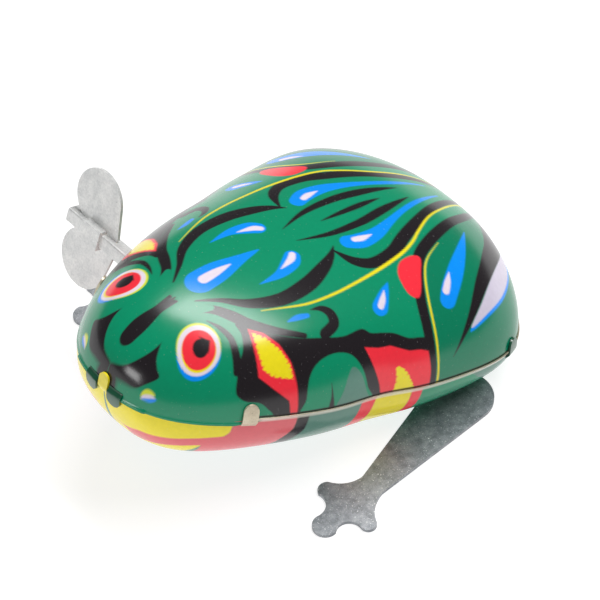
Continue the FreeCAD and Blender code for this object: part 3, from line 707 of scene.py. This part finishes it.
def make_tabs():
    """The tabs that hold the shells together: some keep the ink of the print they are cut from."""
    green = plain_ink("green_tab", srgb(20, 84, 58))
    yellow = plain_ink("yellow_tab", YELLOW)
    upper, lower = [], []
    for side, label in ((-1, "right"), (1, "left")):
        upper.append(tab_piece("nose_tab_" + label, side * 2.45, -37.3, side * 10, 2.6, 0.7, -2.4, 0.25,
                               green))
        lower.append(tab_piece("side_tab_" + label, side * 17.5, -24.0, side * 63, 2.4, -0.8, 3.0, 0.15,
                               BARE_TIN))
        lower.append(tab_piece("rear_tab_" + label, side * 25.42, 24.2, side * 111, 2.6, -0.8, 2.4, 0.15,
                               green))
    lower.append(tab_piece("nose_tab_middle", 0, -37.35, 0, 2.0, -1.4, 2.2, 0.1, yellow))
    for pieces, node, slot in ((upper, "upper_shell", "printed_tin_upper"),
                               (lower, "lower_shell", "printed_tin_lower")):
        for piece in pieces:
            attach(piece, "shell")
            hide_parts(node)


def dress_cad_nodes():
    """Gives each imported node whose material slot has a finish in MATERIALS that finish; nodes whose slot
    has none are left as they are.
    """
    slots = {part["node"]: part["material_slot"] for part in frame["record"]["subparts"]}
    for name, node in frame["nodes"].items():
        if slots[name] not in MATERIALS:
            continue
        node.data.materials.clear()
        node.data.materials.append(MATERIALS[slots[name]])
        if name in ("key_wings", "key_shaft", "leg_left", "leg_right"):
            soften(node, 0.1)


def cut_opening(piece, low, high, sides=4, turn=45.0, across=False):
    """Cuts a prism through a shell: a square one standing up, or a many-sided one along X.

    low and high are opposite corners of the box around it in mm, turn is the bearing of its
    first corner in degrees, and across lays it along X.
    """
    low, high = np.array(low, float), np.array(high, float)
    angle = math.radians(turn) + np.arange(sides) * 2 * math.pi / sides
    # A square's corners reach the corners of its box; a many-sided ring just touches the sides.
    scale = 1 / math.cos(math.pi / sides) if sides == 4 else 1.0
    ring = np.stack([np.cos(angle), np.sin(angle)], axis=1) * scale / 2 + 0.5
    axes = [1, 2, 0] if across else [0, 1, 2]
    points = []
    for end in (0, 1):
        for place in ring:
            spot = np.zeros(3)
            spot[axes] = (place[0], place[1], end)
            points.append(low + spot * (high - low))
    faces = [tuple(reversed(range(sides))), tuple(range(sides, 2 * sides))]
    faces += [(i, (i + 1) % sides, sides + (i + 1) % sides, sides + i) for i in range(sides)]
    cutter = mesh_object("cutter", points, faces, [BARE_TIN])
    opening = piece.modifiers.new("opening", "BOOLEAN")
    opening.object = cutter
    opening.solver = "EXACT"
    opening.use_hole_tolerant = True
    shaped = bpy.data.meshes.new_from_object(piece.evaluated_get(bpy.context.evaluated_depsgraph_get()))
    piece.modifiers.remove(opening)
    piece.data = shaped
    bpy.data.objects.remove(cutter)


def cut_leg_slots(lower):
    """A slot on each side of the belly."""
    for x0, x1 in (LEG_SLOT_X, (-LEG_SLOT_X[1], -LEG_SLOT_X[0])):
        cut_opening(lower, (x0, LEG_SLOT_Y[0], LEG_SLOT_Z[0]), (x1, LEG_SLOT_Y[1], LEG_SLOT_Z[1]))


def cut_key_hole(upper):
    """A round hole in the right flank about the winding axis."""
    key_y, key_z = WINDING_AXIS
    low = (KEY_HOLE_X[0], key_y - KEY_HOLE_R, key_z - KEY_HOLE_R)
    high = (KEY_HOLE_X[1], key_y + KEY_HOLE_R, key_z + KEY_HOLE_R)
    cut_opening(upper, low, high, sides=48, turn=0, across=True)


def make_shells():
    """Both printed shells, which stand for the two CAD shells."""
    upper = shell_piece("upper_shell_tin", True, print_upper, GREEN, PRINTED, BARE_TIN)
    lower = shell_piece("lower_shell_tin", False, print_lower, SAGE, PRINTED, BARE_TIN)
    cut_leg_slots(lower)
    cut_key_hole(upper)
    for piece, node, slot in ((upper, "upper_shell", "printed_tin_upper"),
                              (lower, "lower_shell", "printed_tin_lower")):
        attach(piece, "shell")
        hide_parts(node)


# ---- studio -------------------------------------------------------------------------
def make_floor():
    """A plain white sweep, lit a little from within so that shadows on it stay faint."""
    material, _, shader = new_material("floor")
    shader.inputs["Base Color"].default_value = (0.35, 0.35, 0.35, 1)
    shader.inputs["Roughness"].default_value = 0.9
    shader.inputs["Emission Color"].default_value = (1, 1, 1, 1)
    shader.inputs["Emission Strength"].default_value = 0.8
    size = 1500.0
    corners = [(-size, -size, -0.02), (size, -size, -0.02), (size, size, -0.02), (-size, size, -0.02)]
    floor = mesh_object("floor", corners, [(0, 1, 2, 3)], [material])


def area_light(name, power, size, place, target=(0, -14, 12)):
    data = bpy.data.lights.new(name, "AREA")
    data.shape = "RECTANGLE"
    data.size, data.size_y = size[0] * MM, size[1] * MM
    data.energy = power
    light = bpy.data.objects.new(name, data)
    light.location = Vector(place) * MM
    aim = Vector(target) * MM - light.location
    light.rotation_euler = aim.to_track_quat("-Z", "Y").to_euler()
    bpy.context.scene.collection.objects.link(light)


def make_lights():
    """A broad strip overhead, a small light in front, and a dim even world."""
    world = bpy.data.worlds.new("studio")
    bpy.context.scene.world = world
    world.use_nodes = True
    background = world.node_tree.nodes["Background"]
    background.inputs["Color"].default_value = (1, 1, 1, 1)
    background.inputs["Strength"].default_value = 0.12
    area_light("top", 3.5, (650, 150), (0, 170, 520))
    area_light("front", 0.4, (150, 100), (-20, -450, 130))


def make_camera():
    """Looks down at the frog from its front left, with a long lens."""
    azimuth, elevation, distance = math.radians(48.3), math.radians(46.8), 494.0
    data = bpy.data.cameras.new("camera")
    data.lens = 194.2
    data.sensor_width = 36
    data.clip_start = 0.01
    camera = bpy.data.objects.new("camera", data)
    focus = Vector((0, -13.43, 22.26))
    aim = Vector((3.5, -16.8, 17.7))
    away = Vector((math.sin(azimuth) * math.cos(elevation), -math.cos(azimuth) * math.cos(elevation),
                   math.sin(elevation)))
    camera.location = (focus + away * distance) * MM
    camera.rotation_euler = (aim * MM - camera.location).to_track_quat("-Z", "Y").to_euler()
    bpy.context.scene.collection.objects.link(camera)
    bpy.context.scene.camera = camera


dress_cad_nodes()
make_shells()
make_tabs()
make_floor()
make_lights()
make_camera()
bpy.context.scene.view_settings.view_transform = "Standard"
